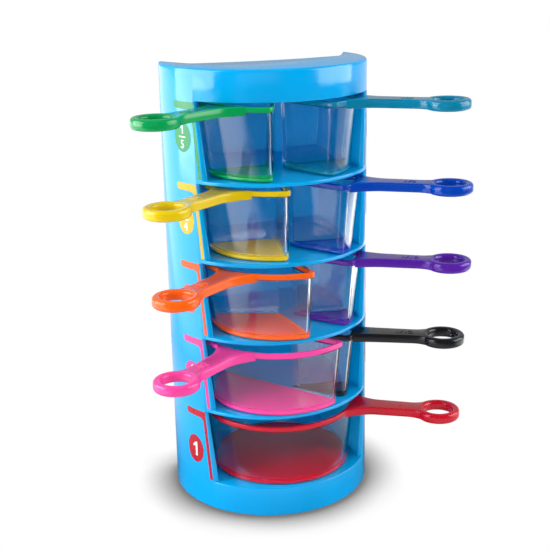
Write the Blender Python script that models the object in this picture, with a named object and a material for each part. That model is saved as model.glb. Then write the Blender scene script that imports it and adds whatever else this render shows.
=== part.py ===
"""A set of nine fraction measuring cups, stored in a five-tier tower.

Each cup is a slice of one round pie, from a twelfth of it to all of it. A cup is a clear bowl, a
coloured rim moulded in one with its handle, and a coloured disc under the bowl's floor.
The tower's upper four tiers hold a larger slice on the left and a smaller one on the right, and the
lowest holds the full cup. Every cup pulls out through the tower's open front.

Metres, +Z up. The origin is the centre of the tower's base, on the axis of its round outside, and
the open front faces -Y.
"""

from math import asin, cos, degrees, radians, sin, sqrt

import bmesh
import bpy
from mathutils import Matrix

# Tower
TOWER_RADIUS = 0.066
TOWER_BACK = 0.037           # flat back, measured behind the axis
BACK_CORNER = 0.009          # radius of the two upright corners at the back
WALL = 0.003
BASE_HEIGHT = 0.0198         # up to the floor of the lowest tier
BASE_DECK = 0.0025
BASE_COVER = 0.002
LOWEST_TIER = 0.0485         # clear height
PITCH = 0.0499               # from one shelf to the next
SHELF = 0.0023
CAP_HEIGHT = 0.0195
CAP_TOP = 0.0025
EDGE = 0.0015                # softened edge of the base and the cap
OPENING_LOW = 53.3           # half-angle of the skin's front edge at a tier's floor, in degrees
OPENING_HIGH = 57.5          # and at its top, because the cups flare upwards
POCKET_LOW = 0.0496          # half-width between a tier's side walls at its floor
POCKET_HIGH = 0.0538         # and at its top
SKIN_POINT = 60.0            # where the skin's fixed points begin, in degrees from the front
DUCT_WALL = 0.0023           # the columns are hollow: wall between a pocket and the duct,
DUCT_FRONT = -27             # and the duct's ends, in degrees from the side
DUCT_REAR = 27
SCOOP_DEPTH = 0.008          # how far the cap's top steps down behind its brow
SCOOP_MIDDLE = -0.20         # the brow's rear edge, in tower radii: at the middle,
SCOOP_CURVE = 0.16           # how it curves back with the square of x,
SCOOP_HALF = 0.74            # where it turns into the two horns,
HORN_TIP = 16.5              # and the horns' tips, in degrees behind the sides

# Cups
PIE_CENTRE = -0.0210         # centre of the round that the slices share, in y
CUP_HEIGHT = 0.0426          # of the cup in the lowest tier
CUP_RISE = 0.0007            # the cups of each tier are this much taller than those of the one below
RIM_RADIUS = 0.0505
BOWL_RADIUS = 0.0496         # outside of the bowl under the rim
FLOOR_RADIUS = 0.0460        # outside of the bowl above its rounded foot
SIDE_DRAFT = 0.0003          # the straight sides stand almost upright; only the round side flares
BOWL_WALL = 0.0015
RIM_HEIGHT = 0.0032
DISC = 0.0012
BOWL_FLOOR = 0.0027          # inside floor
CUP_CORNER = 0.0036          # upright corners of a slice, where a side meets the round
CUP_POINT = 0.0012           # and where its sides meet
FOOT = 0.0012                # softened edge of the floor disc and of the inside floor
GAP = 0.0003                 # between pieces that touch

# Handle, from the centre of the pie
HANDLE_WIDTH = 0.0138
NECK_WIDTH = 0.0128
HANDLE_HEIGHT = 0.0056
HANDLE_MIDDLE = 0.0024       # depth of its mid-plane below the rim's top
RING_CENTRE = 0.1069
RING_RADIUS = 0.0140
RING_HOLE = 0.0091
RING_HEIGHT = 0.0066
RING_EDGE = 0.0019           # rounding of the ring's four edges
NECK_LENGTH = 0.010          # over which the neck widens to the ring
NECK_TURN = 132              # where the neck meets the ring, in degrees from the handle's end
FLARE_LENGTH = 0.018
FLARE_WIDTH = 0.0150         # half-width of the flare at the rim, on the larger cups

TOWER_BLUE = (0.0, 0.356, 0.78)
CLEAR = (0.75, 0.80, 0.84)

# name, share of the pie, tier counted from the base, direction of the handle in degrees,
# how far the cup stands off the shared centre to the right and to the back, colour
CUPS = (
    ("one_cup", 1 / 1, 0, -32.5, (0.0013, 0.0043), (0.55, 0.006, 0.022)),
    ("half_cup", 1 / 2, 1, -143.3, (0.0000, -0.0003), (0.96, 0.05, 0.30)),
    ("twelfth_cup", 1 / 12, 1, -29.1, (0.0001, -0.0009), (0.012, 0.012, 0.014)),
    ("third_cup", 1 / 3, 2, -143.4, (0.0023, 0.0001), (1.0, 0.15, 0.01)),
    ("tenth_cup", 1 / 10, 2, -32.8, (0.0047, 0.0013), (0.10, 0.012, 0.36)),
    ("quarter_cup", 1 / 4, 3, -145.3, (0.0032, 0.0042), (0.75, 0.53, 0.005)),
    ("eighth_cup", 1 / 8, 3, -35.0, (0.0021, -0.0030), (0.0, 0.045, 0.46)),
    ("fifth_cup", 1 / 5, 4, -148.0, (0.0018, -0.0002), (0.0, 0.30, 0.08)),
    ("sixth_cup", 1 / 6, 4, -37.0, (0.0021, 0.0017), (0.0, 0.155, 0.31)),
)

CAP_FLOOR = BASE_HEIGHT + LOWEST_TIER + 4 * PITCH
TOP = CAP_FLOOR + CAP_HEIGHT


def tier_floor(tier):
    """Height of the surface that a tier's cups stand on."""
    return BASE_HEIGHT if tier == 0 else BASE_HEIGHT + LOWEST_TIER + SHELF + (tier - 1) * PITCH


# ---------------------------------------------------------------- scene, materials and solids

def clear_scene():
    for item in list(bpy.data.objects):
        bpy.data.objects.remove(item, do_unlink=True)


def new_collection(name):
    collection = bpy.data.collections.new(name)
    bpy.context.scene.collection.children.link(collection)
    return collection


def plastic(name, colour, roughness=0.22, alpha=1.0):
    material = bpy.data.materials.new(name)
    material.use_nodes = True
    shader = material.node_tree.nodes["Principled BSDF"]
    shader.inputs["Base Color"].default_value = (*colour, 1.0)
    shader.inputs["Roughness"].default_value = roughness
    shader.inputs["Metallic"].default_value = 0.0
    shader.inputs["Alpha"].default_value = alpha
    material.diffuse_color = (*colour, alpha)
    return material


def add_object(name, mesh, collection, material=None):
    item = bpy.data.objects.new(name, mesh)
    collection.objects.link(item)
    if material:
        mesh.materials.append(material)
    return item


def loft(name, loops, collection, material=None):
    """A closed solid through loops of equally many points, capped by the first and the last."""
    shape = bmesh.new()
    rings = [[shape.verts.new(point) for point in loop] for loop in loops]
    count = len(rings[0])
    for lower, upper in zip(rings, rings[1:]):
        for i in range(count):
            j = (i + 1) % count
            shape.faces.new((lower[i], lower[j], upper[j], upper[i]))
    shape.faces.new(rings[0])
    shape.faces.new(rings[-1])
    bmesh.ops.remove_doubles(shape, verts=shape.verts, dist=0.000001)
    bmesh.ops.recalc_face_normals(shape, faces=shape.faces)
    mesh = bpy.data.meshes.new(name)
    shape.to_mesh(mesh)
    shape.free()
    mesh.shade_smooth()
    mesh.set_sharp_from_angle(angle=radians(30))
    return add_object(name, mesh, collection, material)


def level(outline, height):
    return [(x, y, height) for x, y in outline]


def plate(name, outlines, thickness, height, collection, material):
    """A flat plate from closed outlines, the first its edge and the others its holes."""
    curve = bpy.data.curves.new(name, "CURVE")
    curve.dimensions = "2D"
    curve.fill_mode = "BOTH"
    curve.extrude = thickness / 2
    for outline in outlines:
        spline = curve.splines.new("POLY")
        spline.points.add(len(outline) - 1)
        for point, (x, y) in zip(spline.points, outline):
            point.co = (x, y, 0.0, 1.0)
        spline.use_cyclic_u = True
    guide = add_object(name + "_outline", curve, collection)
    mesh = bpy.data.meshes.new_from_object(guide.evaluated_get(bpy.context.evaluated_depsgraph_get()))
    bpy.data.objects.remove(guide)
    bpy.data.curves.remove(curve)
    shape = bmesh.new()
    shape.from_mesh(mesh)
    bmesh.ops.remove_doubles(shape, verts=shape.verts, dist=0.00001)
    bmesh.ops.translate(shape, verts=shape.verts, vec=(0, 0, height + thickness / 2))
    bmesh.ops.recalc_face_normals(shape, faces=shape.faces)
    shape.to_mesh(mesh)
    shape.free()
    mesh.name = name
    mesh.materials.clear()
    return add_object(name, mesh, collection, material)


def combine(item, other, operation):
    other.hide_render = True
    other.display_type = "WIRE"
    modifier = item.modifiers.new(other.name, "BOOLEAN")
    modifier.operation = operation
    modifier.solver = "EXACT"
    modifier.object = other


# ---------------------------------------------------------------- outlines

def arc(x, y, radius, start, stop, steps):
    """Points on an arc, from one angle to the other in degrees, both ends included."""
    turns = (radians(start + (stop - start) * i / steps) for i in range(steps + 1))
    return [(x + radius * cos(turn), y + radius * sin(turn)) for turn in turns]


def mirrored(points):
    return [(-x, y) for x, y in reversed(points)]


def tower_path(inset):
    """The tower's outline, counter-clockwise, moved inwards by inset."""
    radius, back = TOWER_RADIUS - inset, TOWER_BACK - inset
    corner = max(BACK_CORNER - inset, 0.004)
    turn = degrees(asin((back - corner) / (radius - corner)))
    swing = radians(turn)
    side = arc(0, 0, radius, -90, turn, 18)
    side += arc((radius - corner) * cos(swing), back - corner, corner, turn, 90, 4)[1:]
    return side + mirrored(side)[:-1]


def slice_corner(radius, inset, corner, half):
    """Angle of the centre of a slice's rounded corner, in degrees."""
    return half - degrees(asin((inset + corner) / (radius - corner)))


def slice_outline(radius, inset, corner, point, half):
    """Outline of a pie slice that points along +X, counter-clockwise.

    half is the slice's half-angle, and its straight sides lie inset within it. corner and point are
    the radii of its corners on the round and of the one between its sides.
    """
    if half == 180:
        return arc(0, 0, radius, 0, 360, 48)[:-1]
    middle = slice_corner(radius, inset, corner, half)
    swing = radians(middle)
    steps = max(2, round(half / 8))
    upper = arc(0, 0, radius, 0, middle, steps)
    upper += arc((radius - corner) * cos(swing), (radius - corner) * sin(swing), corner,
                 middle, half + 90, 4)[1:]
    if half < 90:
        apex = (inset + point) / sin(radians(half))
        upper += arc(apex, 0, point, half + 90, 180, 2)
    lower = [(x, -y) for x, y in reversed(upper)]
    if half < 90:
        lower = lower[1:]
    return upper + lower[:-1]


def handle_outline(half):
    """Outline of a handle, from within its rim to within its ring, counter-clockwise."""
    inner = RIM_RADIUS - 0.0004
    corner = slice_corner(RIM_RADIUS, 0, CUP_CORNER, half) if half < 180 else half
    root = min(degrees(asin(FLARE_WIDTH / inner)), corner - 1)
    points = arc(0, 0, inner, 0, root, 4)
    x0, y0 = points[-1]
    for i in range(1, 6):
        t = i / 5
        spread = (y0 - HANDLE_WIDTH / 2) * (1 - t) ** 1.6
        points.append((x0 + FLARE_LENGTH * t, HANDLE_WIDTH / 2 + spread))
    ring = arc(RING_CENTRE, 0, RING_RADIUS - 0.0008, NECK_TURN, 0, 11)
    neck_x, neck_y = ring[0]
    for i in range(3):
        t = i / 3
        spread = (neck_y - NECK_WIDTH / 2) * t ** 2
        points.append((neck_x - NECK_LENGTH * (1 - t), NECK_WIDTH / 2 + spread))
    points = points[1:] + ring[:-1]
    return [(inner, 0)] + points + [ring[-1]] + [(x, -y) for x, y in reversed(points)]


# ---------------------------------------------------------------- tower

def column_section(rise):
    """Plan of the right-hand column at a part of a tier's height, from 0 at its floor to 1.

    It runs along the skin and the rear corner to the back panel, then forward along the pocket's
    side wall, and ends on the flat flange that faces the front.
    """
    half = radians(OPENING_LOW + (OPENING_HIGH - OPENING_LOW) * rise)
    edge_x, front = TOWER_RADIUS * sin(half), -TOWER_RADIUS * cos(half)
    wall = POCKET_LOW + (POCKET_HIGH - POCKET_LOW) * rise
    rear = TOWER_BACK - WALL - GAP
    corner_y = TOWER_BACK - BACK_CORNER
    turn = degrees(asin(corner_y / (TOWER_RADIUS - BACK_CORNER)))
    corner_x = (TOWER_RADIUS - BACK_CORNER) * cos(radians(turn))
    last = degrees(asin((rear - corner_y) / BACK_CORNER))
    skin = arc(0, 0, TOWER_RADIUS, SKIN_POINT - 90, turn, 15)
    skin += arc(corner_x, corner_y, BACK_CORNER, turn, last, 2)[1:]
    return [(edge_x, front)] + skin + [(POCKET_HIGH, rear), (wall, rear), (wall, front)]


def sides(parts, cutters, material):
    """The two columns, each with a slanted pocket wall in every tier and a duct from end to end."""
    levels = []
    for tier in range(5):
        floor = BASE_HEIGHT + GAP if tier == 0 else tier_floor(tier)
        ceiling = CAP_FLOOR - GAP if tier == 4 else tier_floor(tier + 1) - SHELF
        levels += [(0, floor), (1, ceiling)]
        if tier < 4:
            levels.append((0, ceiling))
    duct_x = POCKET_HIGH + DUCT_WALL
    duct = arc(0, 0, TOWER_RADIUS - WALL, DUCT_FRONT, DUCT_REAR, 8)
    duct = [(duct_x, duct[0][1])] + [point for point in duct if point[0] > duct_x] + [(duct_x, duct[-1][1])]
    for name, turned in (("right", list), ("left", mirrored)):
        loops = [level(turned(column_section(rise)), height) for rise, height in levels]
        column = loft(name + "_side", loops, parts, material)
        ends = [level(turned(duct), height) for height in (0, TOP)]
        combine(column, loft(name + "_duct", ends, cutters), "DIFFERENCE")


def back_panel(parts, material):
    """The flat back between the columns, rounded at its two upright edges."""
    corner_y = TOWER_BACK - BACK_CORNER
    corner_x = sqrt((TOWER_RADIUS - BACK_CORNER) ** 2 - corner_y ** 2)
    first = degrees(asin((TOWER_BACK - WALL - corner_y) / BACK_CORNER))
    right = arc(corner_x, corner_y, BACK_CORNER, first, 90, 3)
    outline = right + mirrored(right)
    bottom, top = BASE_HEIGHT + GAP, CAP_FLOOR - GAP
    loft("back_panel", [level(outline, bottom), level(outline, top)], parts, material)


def base_plinth(parts, material):
    """The foot of the tower, with the lowest tier's floor on top and open underneath."""
    under = tower_path(WALL)
    loops = [
        level(under, BASE_HEIGHT - BASE_DECK),
        level(under, 0),
        level(tower_path(EDGE), 0),
        level(tower_path(EDGE * 0.3), EDGE * 0.3),
        level(tower_path(0), EDGE),
        level(tower_path(0), BASE_HEIGHT - EDGE),
        level(tower_path(EDGE * 0.3), BASE_HEIGHT - EDGE * 0.3),
        level(tower_path(EDGE), BASE_HEIGHT),
    ]
    loft("base_plinth", loops, parts, material)


def base_cover(parts, material):
    """Flat plate that closes the plinth from below."""
    outline = tower_path(WALL + GAP)
    loft("base_cover", [level(outline, 0), level(outline, BASE_COVER)], parts, material)


def shelves(parts, material):
    """The floors of tiers 1 to 4. Each one's front lip comes out flush with the tower's outside."""
    lip = OPENING_LOW - degrees(GAP / TOWER_RADIUS)
    front = -TOWER_RADIUS * cos(radians(OPENING_LOW)) - GAP
    side, rear = POCKET_LOW - GAP, TOWER_BACK - WALL - GAP
    outline = arc(0, 0, TOWER_RADIUS, 270 - lip, 270 + lip, 24)
    outline += [(side, front), (side, rear), (-side, rear), (-side, front)]
    for tier in range(1, 5):
        top = tier_floor(tier)
        loft(f"shelf_{tier}", [level(outline, top - SHELF), level(outline, top)], parts, material)


def scoop_outline():
    """Plan of the step behind the brow: a shallow curve that turns into the two horns."""
    radius = TOWER_RADIUS
    front = []
    for i in range(9):
        x = SCOOP_HALF * i / 8
        front.append((x * radius, (SCOOP_MIDDLE + SCOOP_CURVE * x * x) * radius))
    tip = radians(HORN_TIP)
    front.append(((SCOOP_HALF + 0.06) * radius, -0.03 * radius))
    front.append((radius * cos(tip), radius * sin(tip)))
    front.append((1.3 * radius, 0.75 * radius))
    return front + mirrored(front)[:-1]


def top_cap(parts, cutters, material):
    """The tower's lid. Its brow stands up at the front, and behind it the top steps down."""
    outer = tower_path(0)
    loops = [
        level(outer, CAP_FLOOR),
        level(outer, TOP - EDGE),
        level(tower_path(EDGE * 0.3), TOP - EDGE * 0.3),
        level(tower_path(EDGE), TOP),
    ]
    cap = loft("top_cap", loops, parts, material)
    scoop_floor = TOP - SCOOP_DEPTH
    scoop = scoop_outline()
    step = loft("scoop", [level(scoop, scoop_floor), level(scoop, TOP + 0.01)], cutters)
    combine(cap, step, "DIFFERENCE")
    hollow = tower_path(WALL)
    loops = [level(hollow, CAP_FLOOR - 0.01), level(hollow, scoop_floor - CAP_TOP)]
    combine(cap, loft("cap_hollow", loops, cutters), "DIFFERENCE")


# ---------------------------------------------------------------- cups

def bowl_section(inset, side, half, height, wall=0.0):
    """Outline of a cup's body at a height.

    inset and side are how far its round and its straight sides lie within the rim's outline.
    """
    shrink = 0.8 if wall else 1.0
    outline = slice_outline(RIM_RADIUS - inset - wall, side + wall, CUP_CORNER * shrink,
                            CUP_POINT * shrink, half)
    return level(outline, height)


def bowl(name, half, cup_height, parts, material):
    """The clear part of a cup: drafted walls and a flat floor that stands on the coloured disc."""
    top = cup_height - RIM_HEIGHT - GAP
    rim, foot = RIM_RADIUS - BOWL_RADIUS, RIM_RADIUS - FLOOR_RADIUS
    side = rim + SIDE_DRAFT
    loops = [
        bowl_section(foot, side, half, DISC + GAP),
        bowl_section(rim, rim, half, top),
        bowl_section(rim, rim, half, top, BOWL_WALL),
        bowl_section(foot, side, half, BOWL_FLOOR + FOOT, BOWL_WALL),
        bowl_section(foot + FOOT, side + FOOT, half, BOWL_FLOOR, BOWL_WALL),
    ]
    return loft(name, loops, parts, material)


def floor_disc(name, half, parts, material):
    """The coloured disc under a bowl, with a rounded lower edge."""
    foot, side = RIM_RADIUS - FLOOR_RADIUS, RIM_RADIUS - BOWL_RADIUS + SIDE_DRAFT
    loops = []
    for turn in (90, 45, 0):
        swing = radians(turn)
        inset, height = FOOT * sin(swing), DISC * (1 - cos(swing))
        loops.append(bowl_section(foot + inset, side + inset, half, height))
    return loft(name, loops, parts, material)


def ring(name, height, collection):
    """The ring at the handle's end: a band with rounded edges, swept round its centre."""
    section = []
    for x, z, start in (
        (RING_RADIUS - RING_EDGE, RING_HEIGHT / 2 - RING_EDGE, 0),
        (RING_HOLE + RING_EDGE, RING_HEIGHT / 2 - RING_EDGE, 90),
        (RING_HOLE + RING_EDGE, RING_EDGE - RING_HEIGHT / 2, 180),
        (RING_RADIUS - RING_EDGE, RING_EDGE - RING_HEIGHT / 2, 270),
    ):
        section += arc(x, z, RING_EDGE, start, start + 90, 2)
    shape = bmesh.new()
    turns = [radians(15 * i) for i in range(24)]
    rows = []
    for turn in turns:
        points = [(RING_CENTRE + r * cos(turn), r * sin(turn), height + z) for r, z in section]
        rows.append([shape.verts.new(point) for point in points])
    for row, following in zip(rows, rows[1:] + rows[:1]):
        for i in range(len(section)):
            j = (i + 1) % len(section)
            shape.faces.new((row[i], following[i], following[j], row[j]))
    bmesh.ops.recalc_face_normals(shape, faces=shape.faces)
    mesh = bpy.data.meshes.new(name)
    shape.to_mesh(mesh)
    shape.free()
    return add_object(name, mesh, collection)


def rim_and_handle(name, half, cup_height, parts, cutters, material):
    """The coloured rim, its handle and the ring at the handle's end, in one piece."""
    outer = slice_outline(RIM_RADIUS, 0, CUP_CORNER, CUP_POINT, half)
    wall = RIM_RADIUS - BOWL_RADIUS + BOWL_WALL
    mouth = slice_outline(RIM_RADIUS - wall, wall, CUP_CORNER * 0.8, CUP_POINT * 0.8, half)
    rim = plate(name, (outer, mouth), RIM_HEIGHT, cup_height - RIM_HEIGHT, parts, material)
    middle = cup_height - HANDLE_MIDDLE
    hole = arc(RING_CENTRE, 0, RING_HOLE + 0.0008, 0, 360, 24)[:-1]
    bar = plate(name + "_bar", (handle_outline(half), hole), HANDLE_HEIGHT, middle - HANDLE_HEIGHT / 2,
                cutters, material)
    for other in (bar, ring(name + "_ring", middle, cutters)):
        other.parent = rim
        combine(rim, other, "UNION")
    return rim


def cups(parts, cutters):
    clear = plastic("clear_plastic", CLEAR, 0.08, 0.3)
    for name, share, tier, direction, shift, colour in CUPS:
        coloured = plastic(name + "_colour", colour)
        place = bpy.data.objects.new(name + "_place", None)
        parts.objects.link(place)
        place.location = (shift[0], PIE_CENTRE + shift[1], tier_floor(tier) + GAP)
        place.rotation_euler = (0, 0, radians(direction))
        half = 180 * share
        cup_height = CUP_HEIGHT + CUP_RISE * tier
        for piece in (
            bowl(name + "_bowl", half, cup_height, parts, clear),
            floor_disc(name + "_floor_disc", half, parts, coloured),
            rim_and_handle(name + "_rim_handle", half, cup_height, parts, cutters, coloured),
        ):
            piece.parent = place


def main():
    clear_scene()
    parts = new_collection("measuring_cup_set")
    cutters = new_collection("cutters")
    blue = plastic("tower_blue", TOWER_BLUE)
    base_plinth(parts, blue)
    base_cover(parts, blue)
    sides(parts, cutters, blue)
    back_panel(parts, blue)
    shelves(parts, blue)
    top_cap(parts, cutters, blue)
    cups(parts, cutters)


main()
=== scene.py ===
"""Looks for the measuring cup set: a glossy tower with printed marks, and nine clear cups.

Heights and outer sizes are read from the frame. What its boxes don't give is named here. Lengths are
in metres and angles in degrees. A cup is drawn with its handle along +X and its floor at z = 0.
"""

from collections import namedtuple
from math import asin, cos, degrees, pi, radians, sin

import bmesh
import bpy
from mathutils import Matrix, Vector


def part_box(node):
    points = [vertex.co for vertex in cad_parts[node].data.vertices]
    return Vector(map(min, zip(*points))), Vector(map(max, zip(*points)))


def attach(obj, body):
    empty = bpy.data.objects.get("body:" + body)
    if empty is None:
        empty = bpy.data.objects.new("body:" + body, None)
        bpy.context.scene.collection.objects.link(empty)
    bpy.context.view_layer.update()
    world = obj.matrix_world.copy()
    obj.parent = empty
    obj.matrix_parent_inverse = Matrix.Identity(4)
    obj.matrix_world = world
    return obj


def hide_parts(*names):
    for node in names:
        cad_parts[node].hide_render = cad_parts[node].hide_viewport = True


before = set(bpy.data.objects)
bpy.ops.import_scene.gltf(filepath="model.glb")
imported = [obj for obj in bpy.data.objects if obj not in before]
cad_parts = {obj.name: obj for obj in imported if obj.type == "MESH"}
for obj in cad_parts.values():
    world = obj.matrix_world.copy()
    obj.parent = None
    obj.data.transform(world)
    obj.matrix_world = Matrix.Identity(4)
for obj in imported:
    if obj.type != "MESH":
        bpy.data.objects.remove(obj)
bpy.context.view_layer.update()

# Tower, from the frame
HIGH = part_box("base_plinth")[1]
RADIUS = HIGH.x
BACK = HIGH.y
TIER_FLOORS = [HIGH.z] + [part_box(f"shelf_{tier}")[1].z for tier in (1, 2, 3, 4)]
CAP_FLOOR, TOP = (corner.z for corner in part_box("top_cap"))
CEILINGS = [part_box(f"shelf_{tier}")[0].z for tier in (1, 2, 3, 4)] + [CAP_FLOOR]

# Tower, beyond its boxes
WALL = 0.003
BASE_DECK = 0.0025           # thickness of the lowest tier's floor
BACK_CORNER = 0.009
EDGE = 0.0018                # rounded rim of the cap and of the base
SOFT_EDGE = 0.0006           # rounding of all other edges
OPENING_LOW = 53.3           # half-angle of the skin's front edge at a tier's floor
OPENING_HIGH = 57.5          # and at its ceiling
POCKET_LOW = 0.0496          # half-width of a pocket at its floor
POCKET_HIGH = 0.0538         # and at its ceiling
BEYOND = 0.01                # how far a cut goes on above or below the tower
OUTSIDE = 0.1                # a distance that is well clear of its sides

# The step behind the brow: its depth, and its plan in tower radii
SCOOP_DEPTH = 0.008
SCOOP_MIDDLE = -0.20         # y of its front edge at x = 0
SCOOP_CURVE = 0.16           # how fast that edge falls back
SCOOP_HALF = 0.74            # half-length of that edge
SCOOP_BEND = (0.80, -0.03)   # inner corner of a horn
HORN_TIP = 16.5              # angle of the horn's tip, back from the side
SCOOP_BEYOND = (1.3, 0.75)   # a point clear of the tower

# Cups
PIE_CENTRE = -0.0210         # y of the point that the slices share
GAP = 0.0003
CUP_HEIGHT = 0.0426
CUP_RISE = 0.0007            # how much taller a cup is than one a tier below
RIM_RADIUS = 0.0505
BOWL_RADIUS = 0.0496         # just under the rim
FLOOR_RADIUS = 0.0460
SIDE_DRAFT = 0.0003          # lean of the straight sides over a bowl's height
BOWL_WALL = 0.0015
BOWL_FLOOR = 0.0027
BOWL_EDGE = 0.0003           # softening of the upper edge
RIM_HEIGHT = 0.0032
RIM_EDGE = 0.0006
CUP_CORNER = 0.0036          # rounding in plan where a side meets the round
CUP_POINT = 0.0012           # and where the sides meet
INNER_ROUNDING = 0.8         # share of both that is left inside the wall
FOOT = 0.0016                # rounding at the bottom of a cup
FILLET = 0.0020              # rounding of its floor on the inside
SIDE_TUCK = 0.7              # how far FOOT and FILLET draw in the sides, to 1 for the round
SKIN = 0.0003                # clear plastic around the coloured disc
SIDE_INSET = RIM_RADIUS - BOWL_RADIUS + SIDE_DRAFT
FLOOR_INSET = RIM_RADIUS - FLOOR_RADIUS

# Handles
HANDLE_WIDTH = 0.0138        # where the widening at the rim ends
HANDLE_HEIGHT = 0.0056
HANDLE_EDGE = 0.0009
HANDLE_MIDDLE = 0.0024       # depth of its middle below the rim's top
FLARE_LENGTH = 0.018         # length of that widening
FLARE_HALF = 0.0150          # half-width at the rim
FLARE_POWER = 1.6            # how fast it narrows
NECK_LENGTH = 0.010          # length of the widening at the ring
NECK_WIDTH = 0.0128          # where that starts
NECK_TURN = 132              # where on the ring it ends
ROOT_OVERLAP = 0.0004        # how far the handle's plate goes into the rim
RING_COVER = 0.0008          # how far it stays within the ring's outside
HOLE_COVER = 0.0010          # and away from the ring's hole
RING_CENTRE = 0.1069
RING_RADIUS = 0.01393
RING_HOLE = 0.0091
RING_HEIGHT = 0.0066
RING_EDGE = 0.0021
NUMERAL_SIZE = 0.0065
NUMERAL_LIFT = 0.0006        # thickness of a raised numeral, half of it sunk in
NUMERAL_PLACE = (0.082, 0)
STROKE = 0.018               # widening of a numeral's strokes, in its sizes

# Printed marks on the tower's skin
PRINT = 0.00006              # thickness
MARK_TOP = 0.0045            # height of the stub under a tier's ceiling
MARK_STRIP = 0.0023          # width of the strip along the opening
MARK_END = 74                # angle of the stub's rounded end from the front
MARK_TURN = 0.0035           # inner rounding between stub and strip
MARK_BELOW = 0.0006          # clear of the ceiling
MARK_ABOVE = 0.0008          # clear of the floor
MARK_ASIDE = 0.0009          # clear of the opening
BADGE_TURN = 67.3            # angle of a badge's middle from the front
BADGE_WIDTH = 0.0156
BADGE_HEIGHT = 0.0185
ONE_BADGE_HEIGHT = 0.0195
BADGE_LIFT = 0.0195          # its middle above the lowest tier's floor
BADGE_RISE = 0.0015          # and how much more from tier to tier
ONE_HEIGHT = 0.0098          # the full cup's 1
UPPER_PLACE = 0.0045         # a fraction's 1: its middle above the badge's, and its height
UPPER_HEIGHT = 0.0050
LOWER_PLACE = -0.0047        # and the number under its bar
LOWER_SIZE = 0.0072
BAR = (0.0062, 0.0008)       # width and height
# Corners of a figure 1 round its middle, in its heights
ONE_SHAPE = ((0.02, -0.5), (0.20, -0.5), (0.20, 0.5), (0.05, 0.5), (-0.22, 0.28), (-0.22, 0.10),
             (0.02, 0.26))

# parts: how many of them make a round. tier: 0 is the lowest. direction: where the handle points,
# from +X. shift: off the shared centre. word: the colour's name.
Cup = namedtuple("Cup", "name parts tier direction shift word colour")
CUPS = (
    Cup("one_cup", 1, 0, -32.5, (0.0013, 0.0043), "red", (0.58, 0.004, 0.022)),
    Cup("half_cup", 2, 1, -143.3, (0.0000, -0.0003), "pink", (0.94, 0.06, 0.35)),
    Cup("twelfth_cup", 12, 1, -29.1, (0.0001, -0.0009), "black", (0.010, 0.010, 0.012)),
    Cup("third_cup", 3, 2, -143.4, (0.0023, 0.0001), "orange", (0.98, 0.125, 0.003)),
    Cup("tenth_cup", 10, 2, -32.8, (0.0047, 0.0013), "purple", (0.095, 0.014, 0.36)),
    Cup("quarter_cup", 4, 3, -145.3, (0.0032, 0.0042), "yellow", (0.76, 0.54, 0.003)),
    Cup("eighth_cup", 8, 3, -35.0, (0.0021, -0.0030), "blue", (0.0, 0.055, 0.45)),
    Cup("fifth_cup", 5, 4, -148.0, (0.0018, -0.0002), "green", (0.0, 0.34, 0.085)),
    Cup("sixth_cup", 6, 4, -37.0, (0.0021, 0.0017), "teal", (0.0, 0.21, 0.37)),
)

# Colours and surfaces
TOWER_BLUE = (0.0, 0.385, 0.83)
PRINT_WHITE = (0.85, 0.86, 0.88)
PRINT_SHADE = 0.8            # brightness of a printed colour, as a share of its plastic's
CLEAR = (0.985, 0.99, 0.995)
CLEAR_SHADOW = (0.98, 0.985, 0.99)
PAPER_WHITE = (0.64, 0.64, 0.64)
NOISE_SPAN = (0.3, 0.7)      # where most of a noise texture's values lie
CLOUDS = (35, 3)             # noise scale and detail
PATCHES = (90, 4)
PEEL = (420, 2)
PEEL_HEIGHT = 0.0002
SWING = 0.05                 # how far roughness varies on opaque plastic

# Studio
CAMERA_PLACE = (-0.22018, -0.65424, 0.35222)
CAMERA_TURN = (1.2780, 0.0185, -0.3379)      # in radians
CAMERA_LENS = 70.345
AIM = Vector((0, 0, 0.2))    # what the lamps point at
# name, angle round the object from its front, distance, height, width, tallness, watts, seen in
# reflections
LAMPS = (
    ("left_box", -98, 1.0, 0.50, 1.1, 0.9, 15, True),
    ("right_box", 66, 1.0, 0.50, 1.0, 0.8, 10, True),
    ("front_box", -25, 1.3, 0.32, 1.0, 0.3, 5, False),
    ("top_box", -20, 0.2, 1.4, 1.0, 1.0, 7, False),
)
SKY_ON_MATT = 0.14           # strength of the surround for matt faces
SKY_FRONT = 0.02             # and in reflections
SKY_BACK = 0.5
FLOOR_SIZE = 20
FLOOR_DROP = 0.0002
PAINTED_SHADE_REACH = 0.036          # how far from the object the paper's painted shade reaches

# Meshes
SHARP = 32                   # a piece's edges are shaded smooth up to this angle
TOWER_SHARP = 38
RIM_SHARP = 40
SEAM = 0.000005              # points as close as this are one
CUT_SEAM = 0.00002           # and after cuts
STRIP = 0.001                # width of the strips in which a print follows the skin


# ---------------------------------------------------------------- nodes

def plug(tree, value, socket):
    """Sets a socket to a number, or links it to another node."""
    if isinstance(value, (int, float)):
        socket.default_value = value
    else:
        tree.links.new(value, socket)


def ranged(tree, value, source, target):
    """Maps a value from one range to another, and holds it at the ends."""
    node = tree.nodes.new("ShaderNodeMapRange")
    for name, amount in zip(("From Min", "From Max", "To Min", "To Max"), source + target):
        node.inputs[name].default_value = amount
    tree.links.new(value, node.inputs["Value"])
    return node.outputs["Result"]


def calculated(tree, operation, first, second):
    node = tree.nodes.new("ShaderNodeMath")
    node.operation = operation
    plug(tree, first, node.inputs[0])
    plug(tree, second, node.inputs[1])
    return node.outputs[0]


def blend(tree, factor, first, second):
    """The first value where factor is 0, the second where it is 1."""
    node = tree.nodes.new("ShaderNodeMix")
    plug(tree, factor, node.inputs["Factor"])
    plug(tree, first, node.inputs["A"])
    plug(tree, second, node.inputs["B"])
    return node.outputs["Result"]


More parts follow.
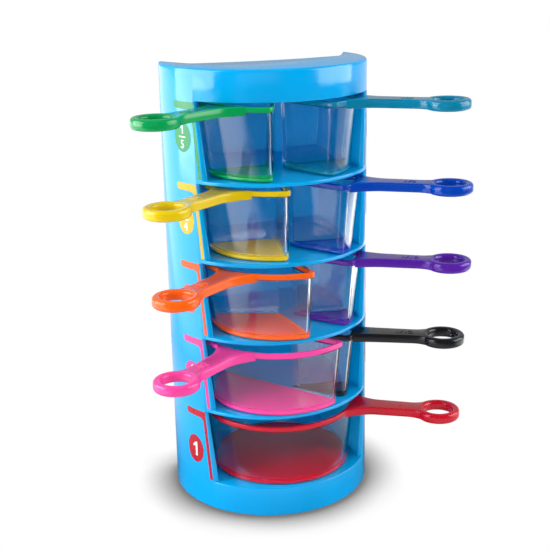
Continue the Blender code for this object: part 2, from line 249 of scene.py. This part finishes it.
def mixed(tree, factor, first, second):
    """The first shader where factor is 0, the second where it is 1."""
    node = tree.nodes.new("ShaderNodeMixShader")
    for output, socket in zip((factor, first, second), node.inputs):
        tree.links.new(output, socket)
    return node.outputs[0]


def glow(tree, strength):
    node = tree.nodes.new("ShaderNodeEmission")
    tree.links.new(strength, node.inputs["Strength"])
    return node.outputs[0]


def split(tree, vector):
    """A vector's outputs X, Y and Z."""
    node = tree.nodes.new("ShaderNodeSeparateXYZ")
    tree.links.new(vector, node.inputs["Vector"])
    return node.outputs


def mirrored_ray(tree, path):
    """1 for what is seen in a reflection or through clear plastic, 0 to the eye and to matt faces."""
    shiny = calculated(tree, "MAXIMUM", path.outputs["Is Glossy Ray"], path.outputs["Is Transmission Ray"])
    direct = calculated(tree, "LESS_THAN", path.outputs["Diffuse Depth"], 0.5)
    return calculated(tree, "MULTIPLY", direct, shiny)


def noise(tree, scale, detail, seed):
    """Noise in the piece's own coordinates, so that it stays on the piece as it moves."""
    place = tree.nodes.new("ShaderNodeTexCoord")
    shift = tree.nodes.new("ShaderNodeMapping")
    shift.inputs["Location"].default_value = (seed * 0.37, seed * 0.11, seed * 0.23)
    texture = tree.nodes.new("ShaderNodeTexNoise")
    texture.inputs["Scale"].default_value = scale
    texture.inputs["Detail"].default_value = detail
    tree.links.new(place.outputs["Object"], shift.inputs["Vector"])
    tree.links.new(shift.outputs["Vector"], texture.inputs["Vector"])
    return texture.outputs["Fac"]


# ---------------------------------------------------------------- materials

def new_material(name):
    material = bpy.data.materials.new(name)
    material.use_nodes = True
    tree = material.node_tree
    return material, tree, tree.nodes["Principled BSDF"]


def cloudy(tree, shader, colour, amount, seed):
    """Base colour with a faint cloudiness, as moulded plastic has."""
    mix = tree.nodes.new("ShaderNodeMix")
    mix.data_type = "RGBA"
    for socket, factor in ((6, 1 - amount), (7, 1 + amount)):
        shade = [min(1.0, part * factor) for part in colour]
        mix.inputs[socket].default_value = (*shade, 1)
    clouds = ranged(tree, noise(tree, *CLOUDS, seed), NOISE_SPAN, (0, 1))
    tree.links.new(clouds, mix.inputs["Factor"])
    tree.links.new(mix.outputs[2], shader.inputs["Base Color"])


def worn(tree, shader, roughness, swing, bump, seed):
    """Patchy gloss from handling, and the fine orange peel of a moulded face."""
    span = (roughness - swing, roughness + swing)
    patches = ranged(tree, noise(tree, *PATCHES, seed + 1), NOISE_SPAN, span)
    tree.links.new(patches, shader.inputs["Roughness"])
    relief = tree.nodes.new("ShaderNodeBump")
    relief.inputs["Strength"].default_value = bump
    relief.inputs["Distance"].default_value = PEEL_HEIGHT
    tree.links.new(noise(tree, *PEEL, seed + 2), relief.inputs["Height"])
    tree.links.new(relief.outputs["Normal"], shader.inputs["Normal"])


def gloss(name, colour, seed, roughness, cloud=0.05, bump=0.10, specular=0.5):
    """Glossy opaque plastic."""
    material, tree, shader = new_material(name)
    shader.inputs["IOR"].default_value = 1.5
    shader.inputs["Specular IOR Level"].default_value = specular
    cloudy(tree, shader, colour, cloud, seed)
    worn(tree, shader, roughness, SWING, bump, seed)
    return material


def clear_plastic():
    """Clear plastic that lets the lamps' light through."""
    material, tree, shader = new_material("clear_plastic_gloss")
    shader.inputs["IOR"].default_value = 1.46
    shader.inputs["Transmission Weight"].default_value = 1.0
    cloudy(tree, shader, CLEAR, 0.005, 7)
    worn(tree, shader, 0.04, 0.02, 0.02, 7)
    path = tree.nodes.new("ShaderNodeLightPath")
    through = tree.nodes.new("ShaderNodeBsdfTransparent")
    through.inputs["Color"].default_value = (*CLEAR_SHADOW, 1)
    surface = mixed(tree, path.outputs["Is Shadow Ray"], shader.outputs[0], through.outputs[0])
    tree.links.new(surface, tree.nodes["Material Output"].inputs["Surface"])
    return material


# ---------------------------------------------------------------- meshes

def shade(piece, angle):
    piece.data.shade_smooth()
    piece.data.set_sharp_from_angle(angle=radians(angle))


def add_piece(name, shape, material):
    """Turns a bmesh into a shaded piece."""
    mesh = bpy.data.meshes.new(name)
    bmesh.ops.recalc_face_normals(shape, faces=shape.faces)
    shape.to_mesh(mesh)
    shape.free()
    piece = bpy.data.objects.new(name, mesh)
    bpy.context.scene.collection.objects.link(piece)
    shade(piece, SHARP)
    if material:
        mesh.materials.append(material)
    return piece


def loft(loops):
    """A closed shape through loops of equally many points, capped by the first and the last."""
    shape = bmesh.new()
    rings = [[shape.verts.new(point) for point in loop] for loop in loops]
    count = len(rings[0])
    for lower, upper in zip(rings, rings[1:]):
        for i in range(count):
            j = (i + 1) % count
            shape.faces.new((lower[i], lower[j], upper[j], upper[i]))
    shape.faces.new(rings[0])
    shape.faces.new(rings[-1])
    bmesh.ops.recalc_face_normals(shape, faces=shape.faces)
    return shape


def level(outline, height):
    return [(x, y, height) for x, y in outline]


def prism(outline, low, high):
    return loft([level(outline, low), level(outline, high)])


def moved(shape, place):
    bmesh.ops.transform(shape, matrix=place, verts=shape.verts)
    return shape


def merged(shapes):
    """One bmesh from several."""
    whole = bmesh.new()
    for shape in shapes:
        mesh = bpy.data.meshes.new("part")
        shape.to_mesh(mesh)
        shape.free()
        whole.from_mesh(mesh)
        bpy.data.meshes.remove(mesh)
    return whole


def made_mesh(source):
    """The evaluated mesh of an object, as data of its own."""
    graph = bpy.context.evaluated_depsgraph_get()
    return bpy.data.meshes.new_from_object(source.evaluated_get(graph), depsgraph=graph)


def apply_modifiers(piece):
    mesh = made_mesh(piece)
    piece.modifiers.clear()
    old, piece.data = piece.data, mesh
    bpy.data.meshes.remove(old)


def boolean(piece, shape, operation):
    """Cuts or joins a bmesh into a piece."""
    other = add_piece("other", shape, None)
    modifier = piece.modifiers.new("combine", "BOOLEAN")
    modifier.operation = operation
    modifier.solver = "EXACT"
    modifier.object = other
    apply_modifiers(piece)
    mesh = other.data
    bpy.data.objects.remove(other)
    bpy.data.meshes.remove(mesh)


def soften(piece, width, segments, angle):
    """Rounds every edge sharper than angle, once the leftovers of the cuts are cleaned up."""
    shape = bmesh.new()
    shape.from_mesh(piece.data)
    bmesh.ops.remove_doubles(shape, verts=shape.verts, dist=CUT_SEAM)
    bmesh.ops.dissolve_degenerate(shape, dist=CUT_SEAM, edges=shape.edges)
    shape.to_mesh(piece.data)
    shape.free()
    modifier = piece.modifiers.new("soften", "BEVEL")
    modifier.width = width
    modifier.segments = segments
    modifier.limit_method = "ANGLE"
    modifier.angle_limit = radians(angle)
    modifier.use_clamp_overlap = False
    modifier.miter_outer = "MITER_ARC"
    apply_modifiers(piece)


def shape_of(curve):
    """The mesh of a curve or text, as a bmesh with its seams closed."""
    guide = bpy.data.objects.new("guide", curve)
    bpy.context.scene.collection.objects.link(guide)
    mesh = made_mesh(guide)
    bpy.data.objects.remove(guide)
    bpy.data.curves.remove(curve)
    shape = bmesh.new()
    shape.from_mesh(mesh)
    bpy.data.meshes.remove(mesh)
    bmesh.ops.remove_doubles(shape, verts=shape.verts, dist=SEAM)
    bmesh.ops.recalc_face_normals(shape, faces=shape.faces)
    return shape


def plate(outlines, thickness, edge=0.0):
    """A flat plate round z = 0 with rounded edges: the first outline is its own, the others are holes."""
    curve = bpy.data.curves.new("plate", "CURVE")
    curve.dimensions = "2D"
    curve.fill_mode = "BOTH"
    curve.extrude = thickness / 2 - edge
    curve.bevel_depth = edge
    curve.bevel_resolution = 3
    curve.offset = -edge
    for outline in outlines:
        spline = curve.splines.new("POLY")
        spline.points.add(len(outline) - 1)
        for point, (x, y) in zip(spline.points, outline):
            point.co = (x, y, 0.0, 1.0)
        spline.use_cyclic_u = True
    return shape_of(curve)


def lettering(text, size, thickness, middle, turned=0.0):
    """Plain numerals round z = 0, centred on middle."""
    curve = bpy.data.curves.new("text", "FONT")
    curve.body = text
    curve.size = size
    curve.align_x = "CENTER"
    curve.align_y = "CENTER"
    curve.extrude = thickness / 2
    curve.offset = size * STROKE
    curve.resolution_u = 4
    place = Matrix.Translation((*middle, 0)) @ Matrix.Rotation(radians(turned), 4, "Z")
    return moved(shape_of(curve), place)


# ---------------------------------------------------------------- outlines

def arc(x, y, radius, start, stop, steps):
    turns = (radians(start + (stop - start) * i / steps) for i in range(steps + 1))
    return [(x + radius * cos(turn), y + radius * sin(turn)) for turn in turns]


def mirrored(points):
    return [(-x, y) for x, y in reversed(points)]


def rounding(radius, steps):
    """A rounded bottom edge, from the bottom up: how far it is drawn in, and its height."""
    turns = [radians(90 * i / steps) for i in range(steps + 1)]
    return [(radius * (1 - sin(turn)), radius * (1 - cos(turn))) for turn in turns]


def tower_path(inset):
    """The tower's outline, counter-clockwise, moved inwards by inset."""
    radius, back = RADIUS - inset, BACK - inset
    corner = BACK_CORNER - inset
    turn = degrees(asin((back - corner) / (radius - corner)))
    side = arc(0, 0, radius, -90, turn, 60)
    side += arc((radius - corner) * cos(radians(turn)), back - corner, corner, turn, 90, 10)[1:]
    return side + mirrored(side)[:-1]


def slice_corner(radius, inset, corner, half):
    """Where a pie slice's round turns into its corner."""
    return half - degrees(asin((inset + corner) / (radius - corner)))


def slice_outline(radius, inset, corner, point, half):
    """Outline of a pie slice that points along +X, its straight sides inset within it."""
    if half == 180:
        return arc(0, 0, radius, 0, 360, 144)[:-1]
    middle = slice_corner(radius, inset, corner, half)
    reach, swing = radius - corner, radians(middle)
    upper = arc(0, 0, radius, 0, middle, max(6, round(half / 2.5)))
    upper += arc(reach * cos(swing), reach * sin(swing), corner, middle, half + 90, 10)[1:]
    if half < 90:
        apex = (inset + point) / sin(radians(half))
        upper += arc(apex, 0, point, half + 90, 180, 6)
    lower = [(x, -y) for x, y in reversed(upper)]
    if half < 90:
        lower = lower[1:]
    return upper + lower[:-1]


def handle_outline(half):
    """Outline of a handle, from within its rim to within its ring, counter-clockwise."""
    inner = RIM_RADIUS - ROOT_OVERLAP
    corner = slice_corner(RIM_RADIUS, 0, CUP_CORNER, half) if half < 180 else half
    root = min(degrees(asin(FLARE_HALF / inner)), corner - 1)
    points = arc(0, 0, inner, 0, root, 8)
    root_x, root_y = points[-1]
    straight = HANDLE_WIDTH / 2
    for i in range(1, 15):
        t = i / 14
        points.append((root_x + FLARE_LENGTH * t, straight + (root_y - straight) * (1 - t) ** FLARE_POWER))
    ring_end = arc(RING_CENTRE, 0, RING_RADIUS - RING_COVER, NECK_TURN, 0, 24)
    neck_x, neck_y = ring_end[0]
    narrow = NECK_WIDTH / 2
    for i in range(8):
        t = i / 8
        points.append((neck_x - NECK_LENGTH * (1 - t), narrow + (neck_y - narrow) * t ** 2))
    points = points[1:] + ring_end[:-1]
    return [(inner, 0)] + points + [ring_end[-1]] + [(x, -y) for x, y in reversed(points)]


# ---------------------------------------------------------------- tower

def scoop_outline():
    """Plan of the step behind the brow: a shallow curve that turns into the two horns."""
    shares = (SCOOP_HALF * i / 24 for i in range(25))
    front = [(x, SCOOP_MIDDLE + SCOOP_CURVE * x * x) for x in shares]
    tip = radians(HORN_TIP)
    front += [SCOOP_BEND, (cos(tip), sin(tip)), SCOOP_BEYOND]
    front = [(x * RADIUS, y * RADIUS) for x, y in front]
    return front + mirrored(front)[:-1]


def pocket(tier):
    """What a tier leaves open: its pocket and all that lies in front of the columns' flanges."""
    loops = []
    for half, wall, height in ((OPENING_LOW, POCKET_LOW, TIER_FLOORS[tier]),
                               (OPENING_HIGH, POCKET_HIGH, CEILINGS[tier])):
        front = -RADIUS * cos(radians(half))
        side = [(OUTSIDE, -OUTSIDE), (OUTSIDE, front), (wall, front), (wall, BACK - WALL)]
        loops.append(level(side + mirrored(side), height))
    return loft(loops)


def tower_moulding(material):
    """The whole tower above its cover plate as one softened moulding."""
    edge = rounding(EDGE, 4)
    loops = [level(tower_path(inset), height) for inset, height in edge]
    loops += [level(tower_path(inset), TOP - depth) for inset, depth in reversed(edge)]
    tower = add_piece("tower_moulding", loft(loops), material)
    boolean(tower, prism(scoop_outline(), TOP - SCOOP_DEPTH, TOP + BEYOND), "DIFFERENCE")
    for tier in range(5):
        boolean(tower, pocket(tier), "DIFFERENCE")
    boolean(tower, prism(tower_path(WALL), -BEYOND, TIER_FLOORS[0] - BASE_DECK), "DIFFERENCE")
    soften(tower, SOFT_EDGE, segments=3, angle=40)
    shade(tower, TOWER_SHARP)
    return tower


# ---------------------------------------------------------------- printed marks

def skin_edge(tier, height):
    """Distance round the skin from the middle of the front to the opening's left edge."""
    share = (height - TIER_FLOORS[tier]) / (CEILINGS[tier] - TIER_FLOORS[tier])
    return -RADIUS * radians(OPENING_LOW + (OPENING_HIGH - OPENING_LOW) * share)


def mark_outline(tier):
    """A stub under the tier's ceiling that turns down into a strip along the opening."""
    top, low = CEILINGS[tier] - MARK_BELOW, TIER_FLOORS[tier] + MARK_ABOVE
    end, radius = -RADIUS * radians(MARK_END), MARK_TOP / 2
    right = [(skin_edge(tier, z) - MARK_ASIDE, z) for z in (low, top)]
    left = [(x - MARK_STRIP, z) for x, z in right]
    bend = top - MARK_TOP - MARK_TURN
    bend_x = left[0][0] + (left[1][0] - left[0][0]) * (bend - low) / (top - low)
    stub = arc(end + radius, top - radius, radius, 90, 270, 12)
    return right + stub + arc(bend_x - MARK_TURN, bend, MARK_TURN, 90, 0, 6) + left[:1]


def ellipse(x, y, width, height):
    turns = (2 * pi * i / 48 for i in range(48))
    return [(x + width / 2 * cos(turn), y + height / 2 * sin(turn)) for turn in turns]


def box_outline(width, height):
    x, y = width / 2, height / 2
    return [(-x, -y), (x, -y), (x, y), (-x, y)]


def one_outline(y, height):
    """A plain figure 1 with a slanting flag, its middle at y."""
    return [(across * height, y + up * height) for across, up in ONE_SHAPE]


def sign(parts):
    """A badge's number, flat round the origin: a 1, or a 1 over a bar and a number."""
    if parts == 1:
        return merged([plate([one_outline(0, ONE_HEIGHT)], PRINT)])
    return merged([
        plate([one_outline(UPPER_PLACE, UPPER_HEIGHT)], PRINT),
        plate([box_outline(*BAR)], PRINT),
        lettering(str(parts), LOWER_SIZE, PRINT, (0, LOWER_PLACE)),
    ])


def wrapped(shape, height, side):
    """Bends a flat shape round the tower's skin, on the left for side -1 and mirrored for 1.

    All marks lie within 90 strips of the front's middle.
    """
    for i in range(-90, 0):
        parts = shape.verts[:] + shape.edges[:] + shape.faces[:]
        bmesh.ops.bisect_plane(shape, geom=parts, plane_co=(i * STRIP, 0, 0), plane_no=(1, 0, 0))
    for vert in shape.verts:
        x, z, lift = vert.co
        turn = x / RADIUS
        out = RADIUS + height + lift
        vert.co = (out * sin(turn) * -side, -out * cos(turn), z)
    return shape


def printed_marks(colours, white):
    """Marks and badges: the left cups' on the left skin, the right cups' on the right."""
    for cup in CUPS:
        side = -1 if cup.direction < -90 or cup.parts == 1 else 1
        middle = (-RADIUS * radians(BADGE_TURN), TIER_FLOORS[cup.tier] + BADGE_LIFT + BADGE_RISE * cup.tier)
        height = ONE_BADGE_HEIGHT if cup.parts == 1 else BADGE_HEIGHT
        mark = plate([mark_outline(cup.tier)], PRINT)
        badge = plate([ellipse(*middle, BADGE_WIDTH, height)], PRINT)
        place = Matrix.Translation((*middle, 0))
        if side > 0:
            place = place @ Matrix.Scale(-1, 4, (1, 0, 0))
        number = moved(sign(cup.parts), place)
        mark = wrapped(merged([mark, badge]), PRINT / 2, side)
        mark = add_piece(cup.name + "_mark", mark, colours[cup.name])
        number = add_piece(cup.name + "_mark_number", wrapped(number, PRINT * 1.5, side), white)
        for piece in (mark, number):
            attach(piece, "tower")


# ---------------------------------------------------------------- cups

def section(inset, side, half, height, wall=0.0):
    """Outline of a cup's body at a height, its round and its sides drawn in from the rim's outline."""
    shrink = INNER_ROUNDING if wall else 1.0
    outline = slice_outline(RIM_RADIUS - inset - wall, side + wall, CUP_CORNER * shrink,
                            CUP_POINT * shrink, half)
    return level(outline, height)


def floor_section(tuck, half, height, wall=0.0):
    """A section near the floor, drawn in by tuck and somewhat less at its sides."""
    return section(FLOOR_INSET + tuck, SIDE_INSET + tuck * SIDE_TUCK, half, height, wall)


def bowl(half, top):
    """Thin drafted walls with a rounded foot, a filleted inside floor and a softened upper edge."""
    rim, edge = RIM_RADIUS - BOWL_RADIUS, BOWL_EDGE
    loops = [floor_section(tuck, half, height) for tuck, height in rounding(FOOT, 5)]
    for share in (0.33, 0.67):
        inset = FLOOR_INSET + (rim - FLOOR_INSET) * share
        loops.append(section(inset, SIDE_INSET, half, FOOT + (top - FOOT) * share))
    loops += [
        section(rim, rim, half, top - edge),
        section(rim + edge, rim + edge, half, top),
        section(rim - edge, rim - edge, half, top, BOWL_WALL),
        section(rim, rim, half, top - edge, BOWL_WALL),
    ]
    loops += [floor_section(tuck, half, BOWL_FLOOR + height, BOWL_WALL)
              for tuck, height in reversed(rounding(FILLET, 5))]
    return loft(loops)


def disc(half):
    """The coloured disc within the clear floor, rounded below as the foot is."""
    loops = [floor_section(SKIN + tuck, half, SKIN + height) for tuck, height in rounding(FOOT - SKIN, 5)]
    loops.append(section(FLOOR_INSET + SKIN, SIDE_INSET + SKIN, half, BOWL_FLOOR - SKIN))
    return loft(loops)


def ring():
    """The ring at the handle's end: a band with rounded edges, swept round its centre."""
    outer, inner, high = RING_RADIUS - RING_EDGE, RING_HOLE + RING_EDGE, RING_HEIGHT / 2 - RING_EDGE
    outline = []
    for x, z, start in ((outer, high, 0), (inner, high, 90), (inner, -high, 180), (outer, -high, 270)):
        outline += arc(x, z, RING_EDGE, start, start + 90, 6)
    shape = bmesh.new()
    rows = []
    for i in range(72):
        turn = radians(5 * i)
        rows.append([shape.verts.new((RING_CENTRE + r * cos(turn), r * sin(turn), z)) for r, z in outline])
    for row, following in zip(rows, rows[1:] + rows[:1]):
        for i in range(len(outline)):
            j = (i + 1) % len(outline)
            shape.faces.new((row[i], following[i], following[j], row[j]))
    bmesh.ops.recalc_face_normals(shape, faces=shape.faces)
    return shape


def rim_and_handle(cup, half, height, material):
    """The rim with its handle and ring in one moulding, and raised numerals on the handle."""
    wall = RIM_RADIUS - BOWL_RADIUS + BOWL_WALL
    outlines = (slice_outline(RIM_RADIUS, 0, CUP_CORNER, CUP_POINT, half),
                slice_outline(RIM_RADIUS - wall, wall, CUP_CORNER * INNER_ROUNDING,
                              CUP_POINT * INNER_ROUNDING, half))
    up = Matrix.Translation((0, 0, height - RIM_HEIGHT / 2))
    rim = moved(plate(outlines, RIM_HEIGHT, RIM_EDGE), up)
    piece = add_piece(cup.name + "_rim_and_handle", rim, material)
    up = Matrix.Translation((0, 0, height - HANDLE_MIDDLE))
    hole = arc(RING_CENTRE, 0, RING_HOLE + HOLE_COVER, 0, 360, 48)[:-1]
    boolean(piece, moved(plate((handle_outline(half), hole), HANDLE_HEIGHT, HANDLE_EDGE), up), "UNION")
    boolean(piece, moved(ring(), up), "UNION")
    text = "1" if cup.parts == 1 else f"1/{cup.parts}"
    turned = 180 if cup.direction < -90 else 0
    top = height - HANDLE_MIDDLE + HANDLE_HEIGHT / 2
    shape = moved(lettering(text, NUMERAL_SIZE, NUMERAL_LIFT, NUMERAL_PLACE, turned),
                  Matrix.Translation((0, 0, top)))
    shape.from_mesh(piece.data)
    shape.to_mesh(piece.data)
    shape.free()
    shade(piece, RIM_SHARP)
    return piece


def finished(piece, body, slot, *nodes):
    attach(piece, body)
    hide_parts(*nodes)


def cups(clear, colours):
    """Each cup's bowl, disc and rim, in the places of the CAD nodes that they stand for."""
    for cup in CUPS:
        name, half, colour = cup.name, 180 / cup.parts, colours[cup.name]
        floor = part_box(name + "_floor_disc")[0].z
        height = CUP_HEIGHT + CUP_RISE * cup.tier
        place = Matrix.Translation((cup.shift[0], PIE_CENTRE + cup.shift[1], floor))
        place = place @ Matrix.Rotation(radians(cup.direction), 4, "Z")
        slot = cup.word + "_plastic"
        body = add_piece(name + "_clear_bowl", moved(bowl(half, height - RIM_HEIGHT - GAP), place), clear)
        finished(body, name, "clear_plastic", name + "_bowl")
        coloured = add_piece(name + "_colour_disc", moved(disc(half), place), colour)
        finished(coloured, name, slot, name + "_floor_disc")
        rim = rim_and_handle(cup, half, height, colour)
        rim.data.transform(place)
        finished(rim, name, slot, name + "_rim_handle")


# ---------------------------------------------------------------- studio

def look():
    camera = bpy.data.cameras.new("camera")
    camera.lens = CAMERA_LENS
    camera.sensor_width = 36
    camera.clip_start = 0.01
    holder = bpy.data.objects.new("camera", camera)
    bpy.context.scene.collection.objects.link(holder)
    holder.location = CAMERA_PLACE
    holder.rotation_euler = CAMERA_TURN
    bpy.context.scene.camera = holder


def soft_box(name, turn, distance, height, width, tall, watts, in_gloss):
    """A soft box at an angle round the object from its front, aimed at the tower's middle."""
    lamp = bpy.data.lights.new(name, "AREA")
    lamp.shape = "RECTANGLE"
    lamp.size = width
    lamp.size_y = tall
    lamp.energy = watts
    holder = bpy.data.objects.new(name, lamp)
    bpy.context.scene.collection.objects.link(holder)
    place = Vector((distance * sin(radians(turn)), -distance * cos(radians(turn)), height))
    holder.location = place
    holder.rotation_euler = (AIM - place).to_track_quat("-Z", "Y").to_euler()
    holder.visible_glossy = in_gloss


def sky():
    """A surround that is white to the eye and dimmer to matt faces.

    In reflections it is dark at the front and lighter behind.
    """
    world = bpy.data.worlds.new("studio")
    bpy.context.scene.world = world
    world.use_nodes = True
    tree = world.node_tree
    surround = tree.nodes["Background"]
    surround.inputs["Color"].default_value = (1, 1, 1, 1)
    path = tree.nodes.new("ShaderNodeLightPath")
    direction = tree.nodes.new("ShaderNodeTexCoord")
    back = split(tree, direction.outputs["Generated"])["Y"]
    in_gloss = ranged(tree, back, (0.0, 0.6), (SKY_FRONT, SKY_BACK))
    unseen = blend(tree, mirrored_ray(tree, path), SKY_ON_MATT, in_gloss)
    tree.links.new(blend(tree, path.outputs["Is Camera Ray"], unseen, 1.0), surround.inputs["Strength"])


def paper():
    """White paper, evenly white to the eye but for a painted shade close to the object.

    In reflections it glows with painted light: dark in front of the object, apart from a near patch, and
    light at the sides and behind.
    """
    material = gloss("studio_paper_painted_shade_and_glow", PAPER_WHITE, 11, roughness=0.75, cloud=0.005, bump=0.0, specular=0.1)
    tree = material.node_tree
    path = tree.nodes.new("ShaderNodeLightPath")
    # ambient occlusion that drives the painted shade under and round the object
    near = tree.nodes.new("ShaderNodeAmbientOcclusion")
    near.inputs["Distance"].default_value = PAINTED_SHADE_REACH
    near.samples = 16
    place = tree.nodes.new("ShaderNodeTexCoord").outputs["Object"]
    length = tree.nodes.new("ShaderNodeVectorMath")
    length.operation = "LENGTH"
    tree.links.new(place, length.inputs[0])
    distance = length.outputs["Value"]
    spot = split(tree, place)
    # Strengths of a painted glow seen only in reflections, by place in metres: a patch round the object,
    # painted pools of light at its sides, behind
    away = ranged(tree, distance, (0.24, 0.50), (0.75, 0.03))
    under = ranged(tree, distance, (0.08, 0.17), (0.12, 1.0))
    patch = calculated(tree, "MULTIPLY", away, under)
    aside = ranged(tree, calculated(tree, "ABSOLUTE", spot["X"], 0.0), (0.20, 0.34), (0.0, 2.0))
    painted_light_pools = calculated(tree, "MULTIPLY", aside, ranged(tree, spot["Y"], (-0.38, -0.26), (0.0, 1.0)))
    painted_light_pools = calculated(tree, "MULTIPLY", painted_light_pools, ranged(tree, spot["X"], (0.45, 0.75), (1.0, 0.25)))
    behind = ranged(tree, spot["Y"], (0.05, 0.40), (0.0, 0.9))
    in_gloss = calculated(tree, "MAXIMUM", patch, calculated(tree, "MAXIMUM", painted_light_pools, behind))
    # And to the eye: white, darkened by a painted shade by how much of the sky near the paper is open
    painted_shade_to_eye = ranged(tree, near.outputs["AO"], (0.55, 0.93), (0.20, 1.0))
    surface = tree.nodes["Principled BSDF"].outputs[0]
    # The paper's own surface for matt faces, the painted glow in reflections and the painted shade to the
    # eye
    surface = mixed(tree, mirrored_ray(tree, path), surface, glow(tree, in_gloss))
    surface = mixed(tree, path.outputs["Is Camera Ray"], surface, glow(tree, painted_shade_to_eye))
    tree.links.new(surface, tree.nodes["Material Output"].inputs["Surface"])
    return material


def studio():
    for lamp in LAMPS:
        soft_box(*lamp)
    sky()
    bpy.context.scene.view_settings.view_transform = "Standard"
    shape = bmesh.new()
    bmesh.ops.create_grid(shape, x_segments=8, y_segments=8, size=FLOOR_SIZE)
    floor = add_piece("studio_floor", shape, paper())
    floor.location.z = -FLOOR_DROP


look()
studio()
blue = gloss("tower_blue_gloss", TOWER_BLUE, 3, roughness=0.15, cloud=0.04, bump=0.08, specular=0.55)
tower = tower_moulding(blue)
finished(tower, "tower", "tower_blue", "base_plinth", "left_side", "right_side", "back_panel",
         "shelf_1", "shelf_2", "shelf_3", "shelf_4", "top_cap")
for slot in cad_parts["base_cover"].material_slots:
    slot.material = blue
plastics = {cup.name: gloss(cup.word + "_gloss", cup.colour, 20 + cup.parts, roughness=0.17)
            for cup in CUPS}
prints = {cup.name: gloss(cup.word + "_print", [PRINT_SHADE * part for part in cup.colour],
                          50 + cup.parts, roughness=0.3, cloud=0.04, bump=0.02)
          for cup in CUPS}
cups(clear_plastic(), plastics)
printed_marks(prints, gloss("white_print", PRINT_WHITE, 70, roughness=0.35, cloud=0.02, bump=0.02))
